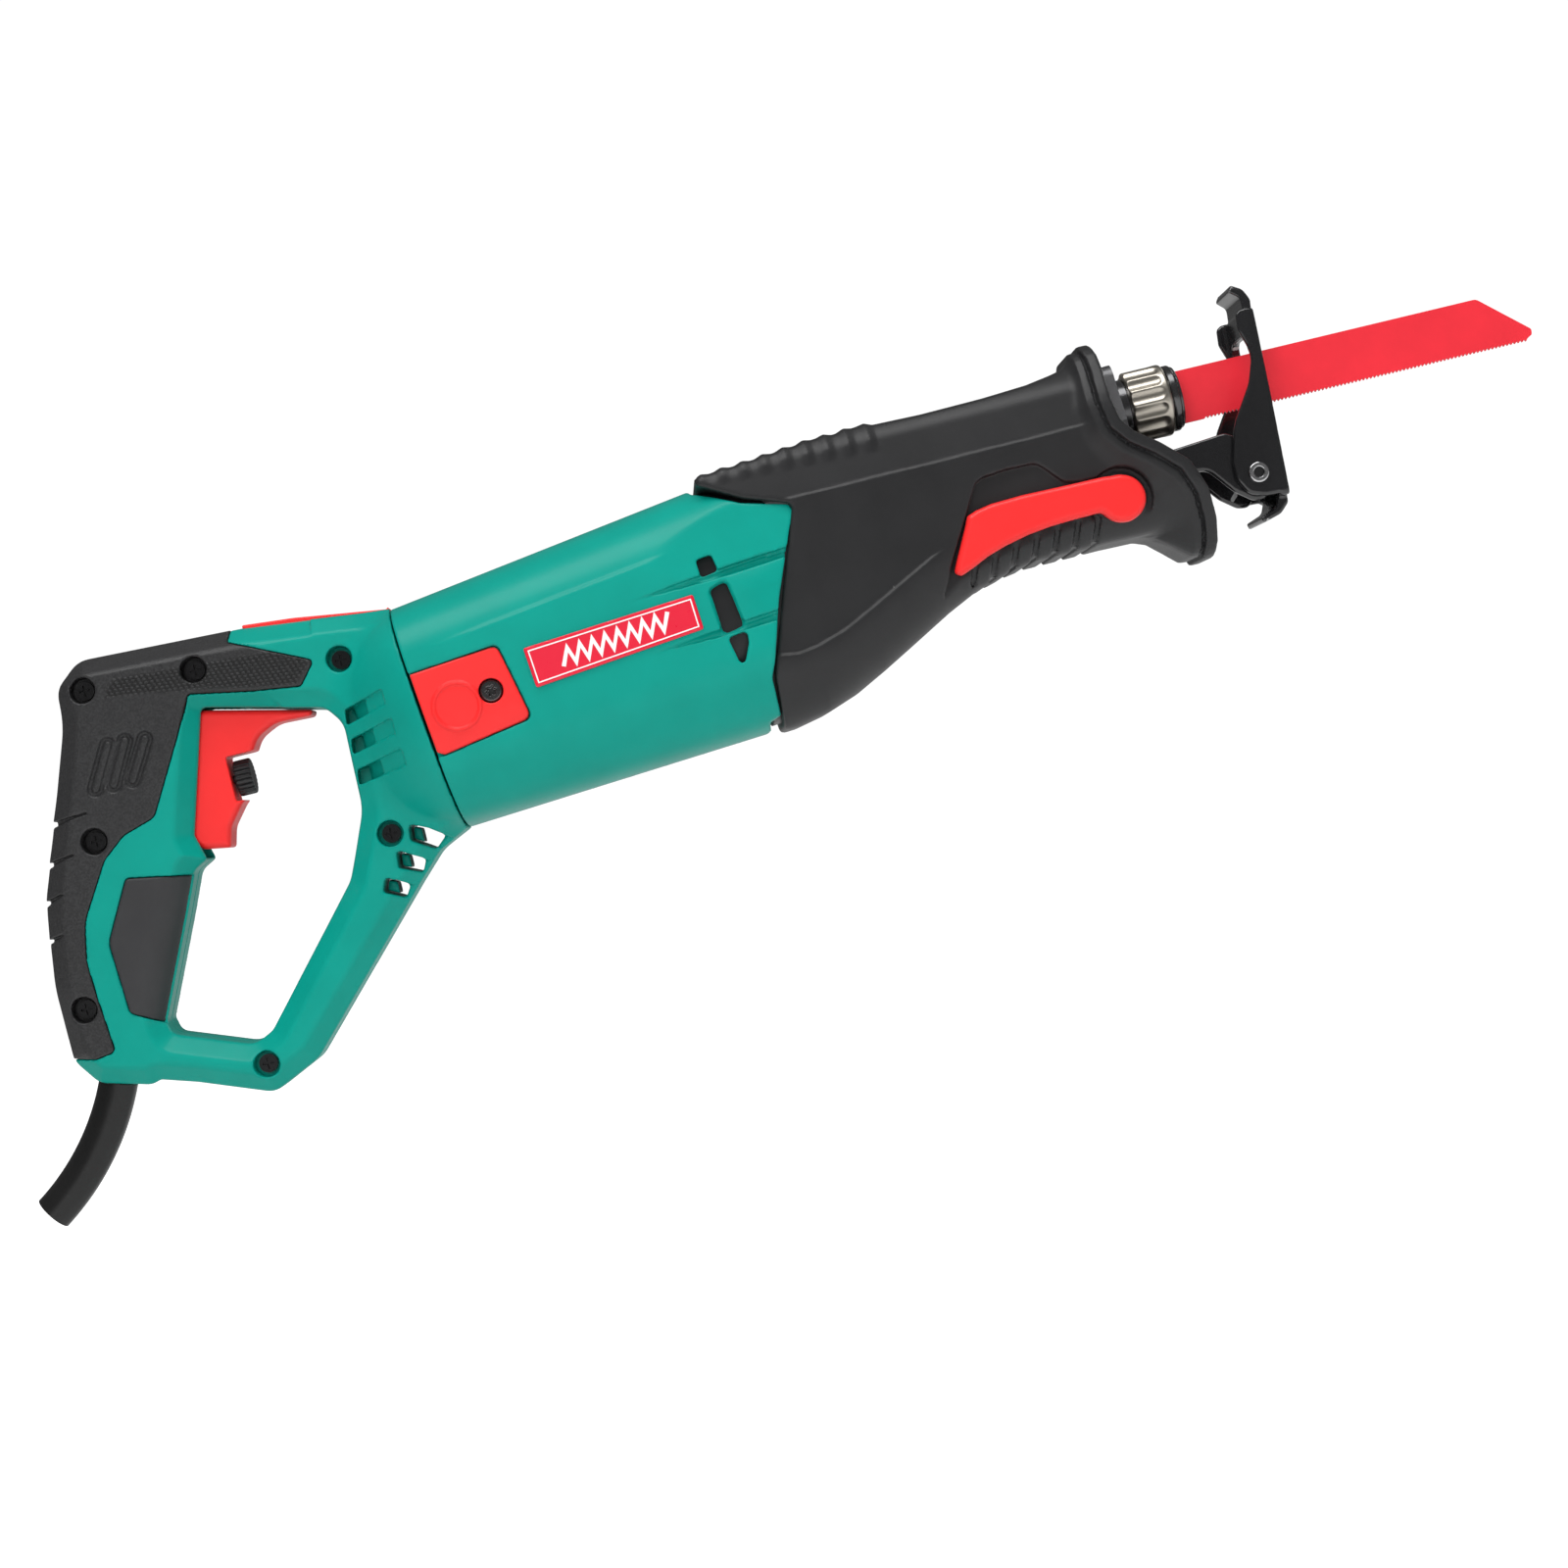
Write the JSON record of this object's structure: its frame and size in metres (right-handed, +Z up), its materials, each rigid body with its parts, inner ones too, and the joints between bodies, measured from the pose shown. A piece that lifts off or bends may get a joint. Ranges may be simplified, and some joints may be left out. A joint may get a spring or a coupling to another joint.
{
  "type": "corded reciprocating saw",
  "caption": "Corded reciprocating saw with D-handle, motor housing, rubber-booted gear case, twist blade clamp, pivoting shoe on a sliding bracket and a mounted metal-cutting blade.",
  "frame": {"origin": "Centre of the chuck mouth, on the plunger axis, where the blade leaves the tool, with the plunger fully retracted", "axes": "+X along the plunger towards the blade tip, +Z up, the right-hand side of the tool faces -Y"},
  "size_m": [0.6012, 0.085, 0.229],
  "materials": {
    "teal_plastic": "satin moulded",
    "grip_rubber": "soft, fine grain",
    "grey_rubber": "soft",
    "red_plastic": "satin",
    "label_film": "satin film",
    "black_plastic": "matt",
    "steel": "ground",
    "copper": null,
    "carbon": null,
    "cast_alloy": "as cast",
    "bronze": "sintered bronze",
    "seal_rubber": "moulded",
    "nickel": "nickel plated",
    "dark_steel": "black finish, glossy",
    "blade_red": "gloss paint",
    "cord_rubber": "glossy"
  },
  "bodies": {
    "tool": {"handle_shell_right": "teal_plastic", "handle_shell_left": "teal_plastic", "motor_housing": "teal_plastic", "rear_grip_right": "grip_rubber", "rear_grip_left": "grip_rubber", "nose_boot": "grip_rubber", "front_grip_right": "grey_rubber", "front_grip_left": "grey_rubber", "top_trim": "red_plastic", "brush_cover_right": "red_plastic", "brush_cover_left": "red_plastic", "name_plates": "label_film", "brush_caps": "black_plastic", "switch_body": "black_plastic", "brush_holders": "black_plastic", "rear_bracket": "black_plastic", "cord_clamp": "black_plastic", "handle_screws": "steel", "bearing_rear": "steel", "bearing_front": "steel", "gear_bearing": "steel", "field_stator": "steel", "gear_spindle": "steel", "brush_springs": "steel", "trigger_spring": "steel", "field_coils": "copper", "carbon_brushes": "carbon", "gear_case": "cast_alloy", "bearing_plate": "cast_alloy", "bush_rear": "bronze", "bush_front": "bronze", "plunger_seal": "seal_rubber", "cord_guard": "cord_rubber", "power_cord": "cord_rubber"},
    "armature": {"armature_shaft": "steel", "armature_core": "steel", "armature_windings": "copper", "commutator": "copper", "cooling_fan": "black_plastic", "drive_pinion": "steel"},
    "crank": {"crank_gear": "steel", "crank_roller": "steel"},
    "plunger_unit": {"plunger": "steel", "blade_lock_pin": "steel", "front_sleeve": "dark_steel", "collar_spring": "steel", "blade": "blade_red"},
    "collar": {"blade_collar": "nickel"},
    "bracket": {"shoe_bracket": "dark_steel", "shoe_pin": "steel"},
    "shoe_unit": {"shoe": "dark_steel"},
    "lever": {"lock_lever": "red_plastic", "lever_cam": "steel"},
    "trigger_unit": {"trigger": "red_plastic"},
    "dial": {"speed_dial": "black_plastic"}
  },
  "joints": [
    {"name": "armature_spin", "type": "hinge", "parent": "tool", "child": "armature", "pos_m": [-0.2923, 0, -0.0502], "axis": [0.9947, 0, 0.1024], "range_deg": [0, 720]},
    {"name": "crank_turn", "type": "hinge", "parent": "tool", "child": "crank", "pos_m": [-0.125, 0, -0.0329], "axis": [0, 0, 1], "range_deg": [-181, 181]},
    {"name": "plunger_slide", "type": "slide", "parent": "tool", "child": "plunger_unit", "axis": [1, 0, 0], "range_m": [0, 0.0281]},
    {"name": "collar_twist", "type": "hinge", "parent": "plunger_unit", "child": "collar", "pos_m": [-0.0125, 0, 0], "axis": [1, 0, 0], "range_deg": [0, 70]},
    {"name": "shoe_slide", "type": "slide", "parent": "tool", "child": "bracket", "axis": [1, 0, 0], "range_m": [-0.012, 0.006]},
    {"name": "shoe_pivot", "type": "hinge", "parent": "bracket", "child": "shoe_unit", "pos_m": [0.0174, 0, -0.035], "axis": [0, 1, 0], "range_deg": [-16, 13]},
    {"name": "lever_swing", "type": "hinge", "parent": "tool", "child": "lever", "pos_m": [-0.0354, 0, -0.0337], "axis": [0, -1, 0], "range_deg": [0, 60]},
    {"name": "trigger_pull", "type": "slide", "parent": "tool", "child": "trigger_unit", "axis": [-1, 0, 0], "range_m": [0, 0.0065], "deforming": ["trigger_spring"]},
    {"name": "dial_turn", "type": "hinge", "parent": "trigger_unit", "child": "dial", "pos_m": [-0.3615, 0, -0.0546], "axis": [1, 0, 0], "range_deg": [-130, 130]}
  ],
  "couplings": [
    {"joint": "crank_turn", "follows": "armature_spin", "ratio": 0.25},
    {"joint": "plunger_slide", "follows": "armature_spin", "m_per_rad": 0.0022282}
  ]
}
